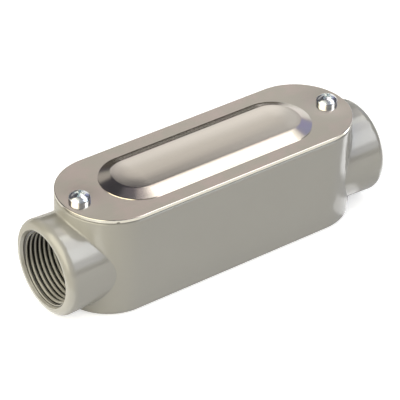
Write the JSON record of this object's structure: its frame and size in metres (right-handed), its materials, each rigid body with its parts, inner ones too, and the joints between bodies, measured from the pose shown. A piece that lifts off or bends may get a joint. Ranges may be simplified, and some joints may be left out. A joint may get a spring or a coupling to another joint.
{
  "type": "conduit body",
  "caption": "Straight-through cast conduit body with threaded hubs at both ends and a screwed-down stamped cover over a long wiring chamber.",
  "frame": {"origin": "centre of the flat back of the casting, midway between the two hub mouths", "axes": "+X along the hub axis towards the right hub, +Z out through the cover, +Y across the body"},
  "size_m": [0.1658, 0.0472, 0.0526],
  "materials": {
    "painted_casting": "semi-gloss grey-beige paint on cast aluminium",
    "cover_sheet": "plain rolled sheet, warm grey, satin",
    "gasket_rubber": "matt grey",
    "screw_plating": "bright zinc plating"
  },
  "bodies": {
    "root": {"body": "painted_casting", "cover": "cover_sheet", "gasket": "gasket_rubber", "cover_screw_left": "screw_plating", "cover_screw_right": "screw_plating"}
  },
  "joints": []
}
